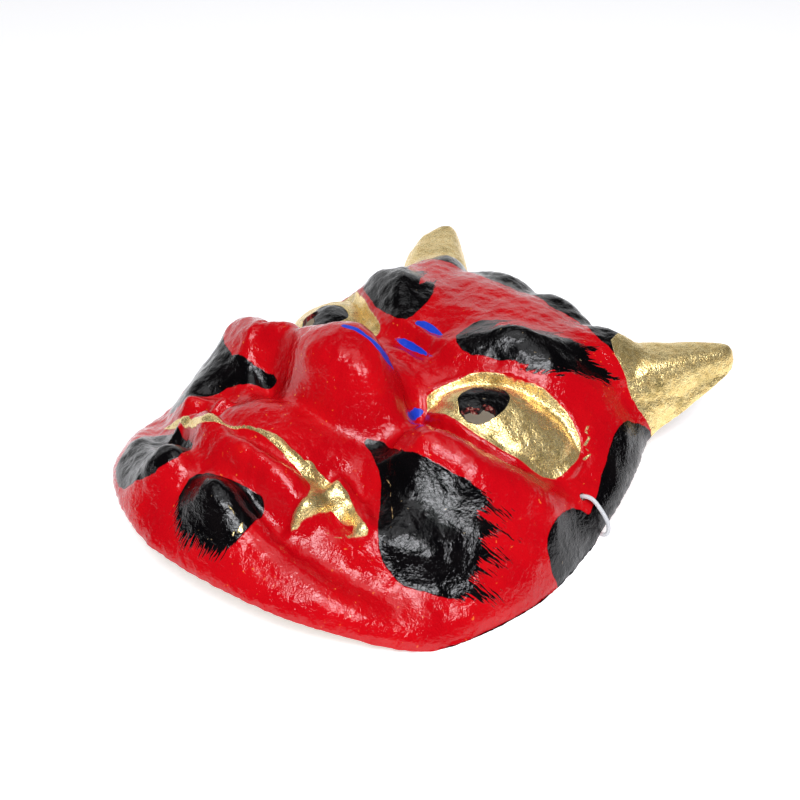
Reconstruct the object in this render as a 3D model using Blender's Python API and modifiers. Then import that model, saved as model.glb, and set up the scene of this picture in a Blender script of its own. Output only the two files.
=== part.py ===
"""Oni mask of lacquered papier-mâché, open at the back, with a round elastic cord.

Blender 4.5: blender --background --python part.py
The mask lies on its back edge: +Z is out of the face, +Y is towards the horns and
+X is the side that is nearer in the photograph. All sizes below are in millimetres.
"""
import math

import bmesh
import bpy
import numpy as np
from mathutils import Vector

MM = 0.001
OBJECT_NAME = "oni_mask"

# Driving sizes
FACE_WIDTH = 200.6
WALL = 2.4
CORD_DIAMETER = 1.6
CORD_HOLE_DIAMETER = 3.0
FAR_JAW_SHRINK = 0.13
FAR_HORN_DROP = 1.5
FAR_HORN_SPLAY = 7.0

# The free form below is drawn for this width and grows with FACE_WIDTH
DRAWN_WIDTH = 200.6
GROW = FACE_WIDTH / DRAWN_WIDTH

# Fineness of the shell: spokes from the bridge of the nose to the rim, and rings
SPOKES_PER_SIDE = 41
RINGS = 24

# Back edge of the right half, from the chin to the hair: x, y and height above the floor.
# Below zero it is cut off flat, which leaves the strips that the mask lies on.
RIM = [
    (0, -101, 16.5), (20, -98.5, 16.3), (39, -93.5, 15), (57, -86, 12.5), (71.5, -75.5, 8.5),
    (82, -65.5, 4), (90, -55, 0.5), (95.5, -42, -2.5), (98.5, -28, -3), (100.3, -13, -3),
    (99.6, 2, -3), (97, 16, -3), (94.9, 25, -2), (93.2, 32.5, 2.8), (91.8, 41, 5),
    (88.5, 53, 7.5), (82.5, 69, 9.5), (75.5, 86, 11), (79, 101, 18), (83.5, 117, 27),
    (84, 125.5, 31), (80, 130, 33), (74, 128.5, 32), (63, 121.5, 28), (50.5, 111.5, 22.5),
    (40.5, 105.5, 18), (31, 110, 15), (18, 113, 14), (0, 115, 14),
]
RIM_STEPS = 8
HUB = (0.0, 8.0)

# Middle of the finished shell's plan, which becomes the origin
PLAN_MIDDLE = (0.3, 14.17)

# Heights of the broad face, before its features
FACE_LEVEL = 41.0
FOREHEAD_RISE = 11.0
FOREHEAD_REACH = 62.0
FLANK_POWER = 0.60

# Soft ridges and furrows of the right half. Each has points x, y, rise, half width.
BROW = [(17, 35, 5, 9), (31, 46, 8, 11), (48, 53, 9, 11), (62, 64, 5, 10)]
CHEEKBONE = [(37, -11, 6, 9), (51, -16, 14, 12), (68, -10, 13, 13), (85, 6, 7, 11)]
NOSE_FURROW = [(25, 3, -7, 8), (31.5, -12, -7, 8), (31, -22, -4, 9)]
MOUTH_LINE = [(0, -60, -3, 3), (20, -57, -3, 3), (33, -47, -3, 3)]
LOWER_LIP = [(0, -66, 9, 8), (16, -63.5, 9, 8), (29, -59, 6, 7)]
LIP_CREASE = [
    (0, -76, -1.5, 4.5), (16, -71, -3.5, 4.5), (32, -69.5, -6, 5), (46, -68, -7, 6.5),
    (62, -61, -8, 8), (74, -53, -7, 9), (84, -44, -4, 9),
]
TUSK_DOWN = [(37, -45, 5, 4.5), (38.5, -56, 6, 4.5), (38.5, -67, 4, 3.2)]
TUSK_OUT = [(37, -45, 4, 4), (47, -45, 5, 4.5), (56, -50, 4, 3.4)]

# Rounded bumps and hollows: x, y, half width, half length, turn in degrees, rise, sharpness
NOSE_BULB = (0, -12, 29.5, 16.5, 0, 21, 5)
NOSE_RIDGE = (0, -10, 15, 16, 0, 5.5, 2)
NOSE_ROOT = (0, 8, 13, 10, 0, 5, 2)
GLABELLA_LOW = (0, 19.5, 17, 3.6, 0, 3, 2)
GLABELLA_HIGH = (0, 31.5, 14, 3.4, 0, 4, 2)
MUZZLE = (0, -48, 27, 14, 0, 8.5, 2.5)
MOUTH_CORNER = (42, -47, 15, 14, 15, -10, 2.6)
CHIN_KNOB = (16, -82, 14, 9.5, -10, 11, 2.4)
JOWL = (66, -42, 18, 12, 20, 3, 2)
HAIR_LUMPS = [(17, 99.5, 15, 9, 0, 6, 2.6), (43, 95, 14, 9, 0, 3, 2.4)]
# Forms that only the far half has: beside the nose, the cheek and the nostril's notch
FAR_FORMS = [
    (33, -8, 11, 12.5, 0, 12.5, 2.6), (46, -9, 10, 9, 0, 2, 2), (70, -26, 14, 12, 0, 4, 2),
    (25, -26, 12, 8, 20, -5, 2),
]
EYE = (52, 22, 30, 16, 30)
EYE_SOCKET_DEPTH = 6.5
EYE_RISE = 13.0
EYE_TILT = 0.42

# Horn: axis from its root to near its blunt tip, half width at each, height of its crest
HORN_ROOT = (55.5, 96.0)
HORN_TIP = (78.5, 125.0)
HORN_ROOT_HALF = 18.0
HORN_TIP_HALF = 6.0
HORN_CREST = 39.5

# Eye opening, hand cut in the lower part of the painted pupil
EYE_OPENING = [
    (42.6, 8.4), (44.4, 11.4), (46.4, 12.4), (47.3, 13.4), (47.3, 15.8), (49.0, 16.8),
    (50.8, 17.6), (53.6, 16.6), (53.2, 14.2), (52.0, 10.9), (49.0, 8.8), (46.0, 7.8),
]
CORD_HOLE = (85.8, 29.6)

# Route of the near half of the cord, from inside the temple hole round the rim to the
# middle of the floor under the face: x, y, z. The far half is its own, looser curve.
CORD_NEAR = [
    (77.0, 30.2, 10.6), (81.5, 30.0, 13.4), (85.8, 29.6, 17.0), (89.0, 30.6, 17.0),
    (92.0, 32.2, 13.2), (94.6, 34.0, 7.6), (95.2, 34.2, 3.0), (93.0, 33.8, 1.0),
    (88.0, 35.0, 0.9), (78.0, 43.0, 0.9), (62.0, 50.0, 0.9), (42.0, 44.0, 0.9),
    (24.0, 26.0, 0.9), (6.0, 8.0, 0.9),
]
CORD_FAR = [
    (-14.0, -2.0, 0.9), (-34.0, 4.0, 0.9), (-50.0, 20.0, 0.9), (-66.0, 34.0, 0.9),
    (-80.0, 36.0, 0.9), (-88.0, 34.6, 0.9), (-93.0, 33.8, 1.0), (-95.2, 34.2, 3.0),
    (-94.6, 34.0, 7.6), (-92.0, 32.2, 13.2), (-89.0, 30.6, 17.0), (-85.8, 29.6, 17.0),
    (-81.5, 30.0, 13.4), (-77.0, 30.2, 10.6),
]
CORD_SPACING = 4.0


def clear_scene():
    for item in list(bpy.context.scene.objects):
        bpy.data.objects.remove(item, do_unlink=True)


def make_collection(name):
    collection = bpy.data.collections.new(name)
    bpy.context.scene.collection.children.link(collection)
    return collection


def make_material(name, colour, roughness, metallic=0.0):
    material = bpy.data.materials.new(name)
    material.use_nodes = True
    shader = material.node_tree.nodes["Principled BSDF"]
    shader.inputs["Base Color"].default_value = (*colour, 1.0)
    shader.inputs["Roughness"].default_value = roughness
    shader.inputs["Metallic"].default_value = metallic
    material.diffuse_color = (*colour, 1.0)
    return material


def smooth_line(points, steps):
    """Points on a smooth curve through the given ones, with their own number of steps."""
    line = np.array(points, float)
    before = 2 * line[0] - line[1]
    after = 2 * line[-1] - line[-2]
    line = np.vstack([before, line, after])
    parts = []
    share = np.linspace(0, 1, steps, endpoint=False)[:, None]
    for first, start, end, last in zip(line[:-3], line[1:-2], line[2:-1], line[3:]):
        bend = 2 * first - 5 * start + 4 * end - last
        twist = -first + 3 * start - 3 * end + last
        parts.append(0.5 * (2 * start + (end - first) * share + bend * share**2 + twist * share**3))
    parts.append(line[-2:-1])
    return np.concatenate(parts)


def evenly_spaced(line, count):
    """The same line with a given number of points at equal distances along it."""
    steps = np.linalg.norm(np.diff(line, axis=0), axis=1)
    along = np.concatenate([[0], np.cumsum(steps)])
    places = np.linspace(0, along[-1], count)
    return np.column_stack([np.interp(places, along, line[:, axis]) for axis in range(line.shape[1])])


def ease(low, high, value):
    share = np.clip((value - low) / (high - low), 0, 1)
    return share * share * (3 - 2 * share)


def blended_maximum(first, second, reach):
    share = np.clip(0.5 + 0.5 * (first - second) / reach, 0, 1)
    return second + (first - second) * share + reach * share * (1 - share)


def ridge(x, y, points):
    """A soft ridge or furrow along a line whose rise and half width change on the way."""
    nearest = np.full(x.shape, 1e9)
    rise = np.zeros(x.shape)
    for start, end in zip(points[:-1], points[1:]):
        run_x, run_y = end[0] - start[0], end[1] - start[1]
        share = ((x - start[0]) * run_x + (y - start[1]) * run_y) / (run_x**2 + run_y**2)
        share = np.clip(share, 0, 1)
        off = np.hypot(x - start[0] - share * run_x, y - start[1] - share * run_y)
        off = off / (start[3] + share * (end[3] - start[3]))
        closer = off < nearest
        nearest = np.where(closer, off, nearest)
        rise = np.where(closer, start[2] + share * (end[2] - start[2]), rise)
    return rise * np.exp(-nearest**2.1)


def oval(x, y, middle_x, middle_y, half_width, half_length, turn):
    """Distance from the middle of a turned oval, 1 on its edge, and the share along it."""
    cosine, sine = math.cos(math.radians(turn)), math.sin(math.radians(turn))
    along = ((x - middle_x) * cosine + (y - middle_y) * sine) / half_width
    across = ((y - middle_y) * cosine - (x - middle_x) * sine) / half_length
    return np.hypot(along, across), along


def bump(x, y, form):
    *place, rise, sharpness = form
    off, _ = oval(x, y, *place)
    return rise * np.exp(-off**sharpness)


def rim_line():
    """The back edge of the right half as a fine line."""
    return smooth_line(RIM, RIM_STEPS)


class Rim:
    """Looks up how far the rim is from the hub, and how high, in any direction."""

    def __init__(self):
        self.line = rim_line()
        off = self.line[:, :2] - HUB
        self.turn = np.arctan2(off[:, 0], -off[:, 1])
        self.reach = np.hypot(off[:, 0], off[:, 1])

    def at(self, x, y):
        turn = np.arctan2(x, -(y - HUB[1]))
        reach = np.interp(turn, self.turn, self.reach)
        level = np.interp(turn, self.turn, self.line[:, 2])
        return np.clip(np.hypot(x, y - HUB[1]) / reach, 0, 1), level, turn

    def distance(self, x, y):
        nearest = np.full(x.shape, 1e9)
        horn_edge = self.line[self.line[:, 1] > 60][:, :2]
        for start, end in zip(horn_edge[:-1], horn_edge[1:]):
            run = end - start
            share = ((x - start[0]) * run[0] + (y - start[1]) * run[1]) / run.dot(run)
            share = np.clip(share, 0, 1)
            off = np.hypot(x - start[0] - share * run[0], y - start[1] - share * run[1])
            nearest = np.minimum(nearest, off)
        return nearest


def horn_share(x, y):
    """Place along the horn's axis, 0 at its root and 1 near its tip, and distance off it."""
    axis = np.subtract(HORN_TIP, HORN_ROOT)
    length = np.hypot(*axis)
    axis = axis / length
    along = ((x - HORN_ROOT[0]) * axis[0] + (y - HORN_ROOT[1]) * axis[1]) / length
    across = (x - HORN_ROOT[0]) * axis[1] - (y - HORN_ROOT[1]) * axis[0]
    return along, across


def add_horn(x, y, height, share_out, level, rim):
    along, across = horn_share(x, y)
    reach = np.clip(along, -0.6, 1)
    half = HORN_ROOT_HALF + (HORN_TIP_HALF - HORN_ROOT_HALF) * reach
    inside = (along > -0.6) & (np.abs(across) < half * 1.4)
    edge = np.zeros(x.shape)
    edge[inside] = rim.distance(x[inside], y[inside])
    round_side = np.sqrt(1 - np.clip(1 - edge / half, 0, 1)**2.8)
    round_side *= np.sqrt(np.clip(1 - (np.abs(across) / (half * 1.12))**4, 0, 1))
    crest = HORN_CREST - 14 * ease(0.05, -0.5, along)
    horn = level + (crest - level) * round_side
    blend = 2.5 * np.sqrt(1 - share_out) + 0.01
    return np.where(inside, blended_maximum(horn, height, blend), height)


def face_height(x, y, rim):
    """Height of the outer surface over the floor, for a place on the right half."""
    x = np.sqrt(x * x + 2.0)
    share_out, level, turn = rim.at(x, y)
    power = 3.2 + 4.5 * ease(2.3, 3.0, turn) - 0.6 * ease(0.9, 0.3, turn)
    power = power - 0.7 * np.exp(-((turn - 0.95) / 0.35)**2)
    plate = FACE_LEVEL - 2 * ease(40, 90, x) - 6 * ease(78, 104, y)
    plate = plate + FOREHEAD_RISE * ease(15, 56, y) * np.exp(-(x / FOREHEAD_REACH)**4)
    height = level + (plate - level) * (1 - share_out**power)**FLANK_POWER
    for line in (BROW, CHEEKBONE, NOSE_FURROW, MOUTH_LINE, LOWER_LIP, LIP_CREASE):
        height = height + ridge(x, y, line)
    for line in (TUSK_DOWN, TUSK_OUT):
        height = height + ridge(x, y, line)
    single = (NOSE_BULB, NOSE_RIDGE, NOSE_ROOT, GLABELLA_LOW, GLABELLA_HIGH,
              MUZZLE, MOUTH_CORNER, CHIN_KNOB, JOWL)
    for form in (*single, *HAIR_LUMPS):
        height = height + bump(x, y, form)
    eye, eye_along = oval(x, y, *EYE)
    height = height - EYE_SOCKET_DEPTH * np.exp(-(eye / 1.12)**5)
    ball = np.clip(1 - eye**2, 0, 1)**0.7
    height = height + EYE_RISE * ball * (1 - EYE_TILT * np.clip(eye_along, -1, 1))
    return add_horn(x, y, height, share_out, level, rim)


def far_horn_splay(distance, y):
    """How far the far horn's outer side stands outwards, least at its root and tip."""
    height_share = ease(78, 100, y) * (1 - 0.75 * ease(108, 128, y))
    return FAR_HORN_SPLAY * height_share * ease(50, 78, distance)


def lean_far_side(x, y, z, share_out):
    """The far half: a narrower jaw, a fuller cheek by the nose and a horn that splays out."""
    distance = np.abs(x)
    along, across = horn_share(distance, y)
    on_horn = np.sqrt(np.clip(along, 0, 1)) * (np.abs(across) < HORN_ROOT_HALF * 1.4)
    lift = -FAR_HORN_DROP * on_horn
    for form in FAR_FORMS:
        lift = lift + bump(distance, y, form)
    lift = lift * (1 - share_out**6)
    far_x = x * (1 - FAR_JAW_SHRINK * ease(0, -45, y)) - far_horn_splay(distance, y)
    return np.where(x < 0, far_x, x), np.where(x < 0, z + lift, z)


def to_row(points):
    """From the drawn form in millimetres to the part's own frame in metres."""
    moved = np.array(points, float)
    moved[..., :2] -= PLAN_MIDDLE
    return moved * MM * GROW


def ring_shares():
    """Rings lie closer together towards the rim, where the flank is steep."""
    even = np.linspace(0, 1, RINGS + 1)
    return 0.5 * even + 0.5 * np.sin(even * math.pi / 2)


def make_half_face(name, collection, rim):
    """Open surface of the right half: a grid bent over the face's outline."""
    spokes = evenly_spaced(rim.line, SPOKES_PER_SIDE + 1)
    spokes[0, 0] = 0.0
    spokes[-1, 0] = 0.0
    shares = ring_shares()
    mesh = bpy.data.meshes.new(name)
    grid = bmesh.new()
    bmesh.ops.create_grid(grid, x_segments=RINGS, y_segments=SPOKES_PER_SIDE, size=0.5)
    for vertex in grid.verts:
        share = shares[round((vertex.co.x + 0.5) * RINGS)]
        spoke = spokes[round((vertex.co.y + 0.5) * SPOKES_PER_SIDE)]
        x = share * spoke[0]
        y = HUB[1] + share * (spoke[1] - HUB[1])
        z = spoke[2]
        if share < 1:
            z = face_height(np.array([x]), np.array([y]), rim)[0]
        vertex.co = (x, y, z)
    bmesh.ops.remove_doubles(grid, verts=grid.verts, dist=0.001)
    bmesh.ops.recalc_face_normals(grid, faces=grid.faces)
    grid.to_mesh(mesh)
    grid.free()
    half = bpy.data.objects.new(name, mesh)
    collection.objects.link(half)
    return half


def apply_modifiers(item):
    bpy.context.view_layer.update()
    graph = bpy.context.evaluated_depsgraph_get()
    mesh = bpy.data.meshes.new_from_object(item.evaluated_get(graph))
    old = item.data
    item.modifiers.clear()
    item.data = mesh
    bpy.data.meshes.remove(old)


def shape_whole_face(shell, rim):
    """After the mirror: lean the far side, then go to metres."""
    for vertex in shell.data.vertices:
        x, y, z = vertex.co
        share, _, _ = rim.at(np.array([abs(x)]), np.array([y]))
        new_x, new_z = lean_far_side(np.array([x]), np.array([y]), np.array([z]), share)
        vertex.co = to_row((new_x[0], y, new_z[0]))


def make_floor_cutter(collection):
    depth = 20 * MM
    bpy.ops.mesh.primitive_cube_add(size=1, location=(0, 0, -depth / 2))
    cutter = bpy.context.object
    cutter.name = "floor_cutter"
    cutter.scale = (3 * FACE_WIDTH * MM, 3 * FACE_WIDTH * MM, depth)
    return take_as_cutter(cutter, collection)


def take_as_cutter(cutter, collection):
    for owner in list(cutter.users_collection):
        owner.objects.unlink(cutter)
    collection.objects.link(cutter)
    cutter.hide_render = True
    cutter.display_type = "WIRE"
    return cutter


def make_eye_cutter(side, collection):
    """A prism on the opening's outline, straight through the wall."""
    outline = bpy.data.curves.new("eye_cutter", "CURVE")
    outline.dimensions = "2D"
    outline.fill_mode = "BOTH"
    outline.extrude = 40 * MM
    corners = to_row([(side * x, y, 0) for x, y in EYE_OPENING])
    line = outline.splines.new("POLY")
    line.points.add(len(corners) - 1)
    for point, corner in zip(line.points, corners):
        point.co = (corner[0], corner[1], 0, 1)
    line.use_cyclic_u = True
    cutter = bpy.data.objects.new("eye_cutter", outline)
    collection.objects.link(cutter)
    cutter.location.z = 45 * MM
    bpy.context.view_layer.update()
    graph = bpy.context.evaluated_depsgraph_get()
    mesh = bpy.data.meshes.new_from_object(cutter.evaluated_get(graph))
    solid = bpy.data.objects.new("eye_cutter_solid", mesh)
    solid.location = cutter.location
    bpy.data.objects.remove(cutter, do_unlink=True)
    return take_as_cutter(solid, collection)


def cord_hole_frame(side, rim):
    """Middle of a temple hole on the outer surface, and the outward direction there."""
    step = 0.5
    x, y = CORD_HOLE
    places_x = np.array([x, x + step, x - step, x, x])
    places_y = np.array([y, y, y, y + step, y - step])
    z = face_height(places_x, places_y, rim)
    outward = Vector((-(z[1] - z[2]) / (2 * step) * side, -(z[3] - z[4]) / (2 * step), 1))
    middle = to_row((side * x, y, z[0]))
    return Vector(middle), outward.normalized()


def make_cord_hole_cutter(side, collection, rim):
    middle, outward = cord_hole_frame(side, rim)
    bpy.ops.mesh.primitive_cylinder_add(
        vertices=16, radius=CORD_HOLE_DIAMETER / 2 * MM, depth=5 * WALL * MM, location=middle)
    cutter = bpy.context.object
    cutter.name = "cord_hole_cutter"
    cutter.rotation_mode = "QUATERNION"
    cutter.rotation_quaternion = outward.to_track_quat("Z", "Y")
    return take_as_cutter(cutter, collection)


def cut(item, cutter):
    modifier = item.modifiers.new("cut", "BOOLEAN")
    modifier.operation = "DIFFERENCE"
    modifier.solver = "EXACT"
    modifier.object = cutter
    apply_modifiers(item)


def make_shell(collection, cutters, rim):
    shell = make_half_face("mask_shell", collection, rim)
    mirror = shell.modifiers.new("other half", "MIRROR")
    mirror.use_clip = True
    mirror.merge_threshold = 0.0001
    apply_modifiers(shell)
    shape_whole_face(shell, rim)
    wall = shell.modifiers.new("wall", "SOLIDIFY")
    wall.thickness = WALL * MM
    wall.offset = -1
    wall.use_rim = True
    apply_modifiers(shell)
    cut(shell, make_floor_cutter(cutters))
    for side in (1, -1):
        cut(shell, make_eye_cutter(side, cutters))
        cut(shell, make_cord_hole_cutter(side, cutters, rim))
    shell.data.materials.clear()
    shell.data.materials.append(make_material("red_lacquer", (0.62, 0.01, 0.02), 0.28))
    return shell


def make_cord(collection):
    route = smooth_line(to_row(CORD_NEAR + CORD_FAR), 12)
    length = np.linalg.norm(np.diff(route, axis=0), axis=1).sum()
    count = int(length / (CORD_SPACING * MM)) + 1
    curve = bpy.data.curves.new("elastic_cord", "CURVE")
    curve.dimensions = "3D"
    curve.bevel_depth = CORD_DIAMETER / 2 * MM
    curve.bevel_resolution = 2
    curve.use_fill_caps = True
    line = curve.splines.new("POLY")
    line.points.add(count - 1)
    for point, place in zip(line.points, evenly_spaced(route, count)):
        point.co = (*place, 1)
    cord = bpy.data.objects.new("elastic_cord", curve)
    collection.objects.link(cord)
    curve.materials.append(make_material("white_elastic", (0.85, 0.86, 0.87), 0.7))
    return cord


def main():
    clear_scene()
    parts = make_collection(OBJECT_NAME)
    cutters = make_collection(OBJECT_NAME + "_cutters")
    rim = Rim()
    make_shell(parts, cutters, rim)
    make_cord(parts)


main()
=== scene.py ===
"""Visual model of an oni mask of lacquered papier-mâché that lies on its back edge.

The drawn form is in millimetres, as in the part's source: +X is the side that is
nearer in the photograph, +Y is towards the horns and +Z is out of the face.
"""
import math

import bmesh
import bpy
import numpy as np
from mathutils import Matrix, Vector, noise


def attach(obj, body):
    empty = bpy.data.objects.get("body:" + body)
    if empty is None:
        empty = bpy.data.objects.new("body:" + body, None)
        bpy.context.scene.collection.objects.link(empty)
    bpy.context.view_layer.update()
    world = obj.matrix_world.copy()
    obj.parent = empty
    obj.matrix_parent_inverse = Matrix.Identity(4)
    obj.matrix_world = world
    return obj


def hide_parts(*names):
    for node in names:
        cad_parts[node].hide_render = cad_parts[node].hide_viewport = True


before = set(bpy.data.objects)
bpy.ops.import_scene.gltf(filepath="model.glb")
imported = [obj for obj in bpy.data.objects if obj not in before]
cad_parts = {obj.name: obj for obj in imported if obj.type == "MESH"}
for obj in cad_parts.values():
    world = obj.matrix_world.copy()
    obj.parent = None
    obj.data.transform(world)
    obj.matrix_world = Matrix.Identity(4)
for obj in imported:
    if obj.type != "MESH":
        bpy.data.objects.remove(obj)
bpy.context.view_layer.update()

MM = 0.001

# Camera of the photograph, in metres in the part's frame
CAMERA_PLACE = (0.270645, -0.24955, 0.267161)
CAMERA_TARGET = (0.007368, -0.003269, 0.030)
CAMERA_LENS = 49.5
CAMERA_SENSOR = 36.0

# The face's form, as in the part's source
WALL = 2.4
CORD_DIAMETER = 1.6
CORD_HOLE_DIAMETER = 3.0
FAR_JAW_SHRINK = 0.13
FAR_HORN_DROP = 1.5
FAR_HORN_SPLAY = 7.0
RIM = [
    (0, -101, 16.5), (20, -98.5, 16.3), (39, -93.5, 15), (57, -86, 12.5), (71.5, -75.5, 8.5),
    (82, -65.5, 4), (90, -55, 0.5), (95.5, -42, -2.5), (98.5, -28, -3), (100.3, -13, -3),
    (99.6, 2, -3), (97, 16, -3), (94.9, 25, -2), (93.2, 32.5, 2.8), (91.8, 41, 5),
    (88.5, 53, 7.5), (82.5, 69, 9.5), (75.5, 86, 11), (79, 101, 18), (83.5, 117, 27),
    (84, 125.5, 31), (80, 130, 33), (74, 128.5, 32), (63, 121.5, 28), (50.5, 111.5, 22.5),
    (40.5, 105.5, 18), (31, 110, 15), (18, 113, 14), (0, 115, 14),
]
RIM_STEPS = 8
HUB = (0.0, 8.0)
PLAN_MIDDLE = (0.3, 14.17)
FACE_LEVEL = 41.0
FOREHEAD_RISE = 11.0
FOREHEAD_REACH = 62.0
FLANK_POWER = 0.60
BROW = [(17, 35, 5, 9), (31, 46, 8, 11), (48, 53, 9, 11), (62, 64, 5, 10)]
CHEEKBONE = [(37, -11, 6, 9), (51, -16, 14, 12), (68, -10, 13, 13), (85, 6, 7, 11)]
NOSE_FURROW = [(25, 3, -7, 8), (31.5, -12, -7, 8), (31, -22, -4, 9)]
MOUTH_LINE = [(0, -60, -3, 3), (20, -57, -3, 3), (33, -47, -3, 3)]
LOWER_LIP = [(0, -66, 9, 8), (16, -63.5, 9, 8), (29, -59, 6, 7)]
LIP_CREASE = [
    (0, -76, -1.5, 4.5), (16, -71, -3.5, 4.5), (32, -69.5, -6, 5), (46, -68, -7, 6.5),
    (62, -61, -8, 8), (74, -53, -7, 9), (84, -44, -4, 9),
]
TUSK_DOWN = [(37, -45, 5, 4.5), (38.5, -56, 6, 4.5), (38.5, -67, 4, 3.2)]
TUSK_OUT = [(37, -45, 4, 4), (47, -45, 5, 4.5), (56, -50, 4, 3.4)]
NOSE_BULB = (0, -12, 29.5, 16.5, 0, 21, 5)
NOSE_RIDGE = (0, -10, 15, 16, 0, 5.5, 2)
NOSE_ROOT = (0, 8, 13, 10, 0, 5, 2)
GLABELLA_LOW = (0, 19.5, 17, 3.6, 0, 3, 2)
GLABELLA_HIGH = (0, 31.5, 14, 3.4, 0, 4, 2)
MUZZLE = (0, -48, 27, 14, 0, 8.5, 2.5)
MOUTH_CORNER = (42, -47, 15, 14, 15, -10, 2.6)
CHIN_KNOB = (16, -82, 14, 9.5, -10, 11, 2.4)
JOWL = (66, -42, 18, 12, 20, 3, 2)
HAIR_LUMPS = [(17, 99.5, 15, 9, 0, 6, 2.6), (43, 95, 14, 9, 0, 3, 2.4)]
# Forms that only the far half has: beside the nose, the cheek and the nostril's notch
FAR_FORMS = [
    (33, -8, 11, 12.5, 0, 12.5, 2.6), (46, -9, 10, 9, 0, 2, 2), (70, -26, 14, 12, 0, 4, 2),
    (25, -26, 12, 8, 20, -5, 2),
]
EYE = (52, 22, 30, 16, 30)
EYE_SOCKET_DEPTH = 6.5
EYE_RISE = 13.0
EYE_TILT = 0.42
HORN_ROOT = (55.5, 96.0)
HORN_TIP = (78.5, 125.0)
HORN_ROOT_HALF = 18.0
HORN_TIP_HALF = 6.0
HORN_CREST = 39.5
EYE_OPENING = [
    (42.6, 8.4), (44.4, 11.4), (46.4, 12.4), (47.3, 13.4), (47.3, 15.8), (49.0, 16.8),
    (50.8, 17.6), (53.6, 16.6), (53.2, 14.2), (52.0, 10.9), (49.0, 8.8), (46.0, 7.8),
]
CORD_HOLE = (85.8, 29.6)

# Route of the cord, as in the part's source
CORD_ROUTE = [
    (77.0, 30.2, 10.6), (81.5, 30.0, 13.4), (85.8, 29.6, 17.0), (89.0, 30.6, 17.0),
    (92.0, 32.2, 13.2), (94.6, 34.0, 7.6), (95.2, 34.2, 3.0), (93.0, 33.8, 1.0),
    (88.0, 35.0, 0.9), (78.0, 43.0, 0.9), (62.0, 50.0, 0.9), (42.0, 44.0, 0.9),
    (24.0, 26.0, 0.9), (6.0, 8.0, 0.9),
    (-14.0, -2.0, 0.9), (-34.0, 4.0, 0.9), (-50.0, 20.0, 0.9), (-66.0, 34.0, 0.9),
    (-80.0, 36.0, 0.9), (-88.0, 34.6, 0.9), (-93.0, 33.8, 1.0), (-95.2, 34.2, 3.0),
    (-94.6, 34.0, 7.6), (-92.0, 32.2, 13.2), (-89.0, 30.6, 17.0), (-85.8, 29.6, 17.0),
    (-81.5, 30.0, 13.4), (-77.0, 30.2, 10.6),
]
CORD_STEP = 0.8
CORD_SIDES = 14
CORD_EXIT_HEIGHT = 17.0

# A knot's size, the thickness of its turns and how far inside the hole it sits
KNOT_REACH = 1.75
KNOT_RADIUS = 0.72
KNOT_SETBACK = 2.6
KNOT_SIDES = 10

# Fineness of the shell: spokes on each side and rings, outside and inside
OUTER_SPOKES, OUTER_RINGS = 360, 120
INNER_SPOKES, INNER_RINGS = 180, 50
RING_CROWDING = 1.4

# Unevenness of hand-laid paper: rise, waves for each millimetre and seed
OUTER_LUMPS = [(0.70, 0.085, 1), (0.42, 0.2, 2), (0.20, 0.5, 3)]
INNER_LUMPS = [(0.3, 0.12, 8), (0.15, 0.4, 9)]
EDGE_LUMPS = [(0.35, 0.35, 5), (0.2, 1.1, 6)]
CALM_RIM = 7
CALM_HORN = 0.7

# The eyelid's roll and the groove outside it: rise, place from the gold's edge, half width
LID_ROLL = (0.75, -0.9, 1.1)
LID_GROOVE = (-0.55, 2.2, 1.5)
LIP_GOLD_RISE = 0.9

# Light: the softbox's azimuth and elevation, distance, size and power, and the studio's
# brightness low behind the mask, elsewhere and straight overhead
KEY_PLACE = (52, 54, 1.3)
KEY_SIZE = (0.74, 0.42)
KEY_POWER = 16.0
KEY_COLOUR = (0.95, 0.96, 1.0)
BACKDROP_TOWARDS = (-0.85, 0.53, 0.0)
BACKDROP_LEVEL = 0.95
DIM_LEVEL = 0.03
ZENITH_LEVEL = 1.6
FLOOR_REACH = 3.0

# Painted shapes on the drawn plan, x and y in millimetres
EYE_GOLD = [
    (22, 11.5), (22, 16.5), (25.5, 24), (30, 30), (37.5, 35), (45.5, 39), (54, 43), (61, 45.5),
    (66.5, 45.5), (72, 43.5), (75.5, 38), (77, 31), (76.5, 24.5), (73, 19), (68, 15), (61, 11),
    (54, 7.5), (46, 5.5), (38.5, 4.5), (32.5, 5), (26, 8),
]
FAR_EYE_GOLD = [
    (-20, 13), (-18.5, 18.5), (-20, 25.5), (-27, 30), (-34.5, 33.5), (-42.5, 37.5), (-50.5, 41.5),
    (-58, 45), (-66.5, 46), (-72, 43.5), (-75.5, 38), (-77, 31), (-76.5, 24.5), (-73, 19),
    (-68, 15), (-61, 10.5), (-54, 6.5), (-46, 5), (-38.5, 4), (-31.5, 5), (-25, 8),
]
PUPIL = [
    (38.5, 11), (37.5, 15.5), (38, 21), (40, 25.5), (44, 28), (48, 28), (51, 26), (53, 21.5),
    (53.5, 16.5), (51.5, 12), (49, 9), (45.5, 7.5), (41, 8.5),
]
FAR_PUPIL = [
    (-36.5, 11), (-35, 16), (-35.5, 21.5), (-39.5, 25), (-45, 25.5), (-50, 22.5), (-52.5, 18),
    (-52, 13), (-49.5, 8.5), (-45.5, 7), (-40.5, 7.5),
]
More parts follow.
